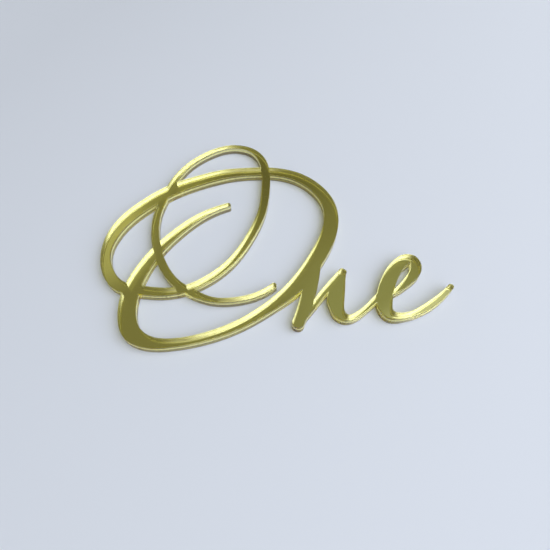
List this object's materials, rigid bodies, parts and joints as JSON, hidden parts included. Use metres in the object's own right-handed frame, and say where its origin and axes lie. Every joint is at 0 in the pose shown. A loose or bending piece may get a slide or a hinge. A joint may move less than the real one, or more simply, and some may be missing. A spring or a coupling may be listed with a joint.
{
  "type": "cake topper",
  "caption": "Flat mirror-acrylic cake topper: the number word for one in flourished script, laser-cut from tinted sheet with a mirrored, painted back, to lay on icing or glue to a panel.",
  "frame": {"origin": "middle of the word's bounding rectangle, on the painted back, which is the face that it lies on", "axes": "+X is the reading direction, +Y runs from the foot of the letters to their top, +Z comes out of the mirror face"},
  "size_m": [0.1188, 0.0952, 0.003],
  "materials": {
    "tinted_acrylic": "clear cast acrylic tinted yellow, polished face and flame-clear cut edges",
    "mirror_metal": "vacuum-laid metal mirror",
    "grey_paint": "matte grey protective paint"
  },
  "bodies": {
    "root": {"acrylic_plate": "tinted_acrylic", "mirror_film": "mirror_metal", "backing_coat": "grey_paint"}
  },
  "joints": []
}
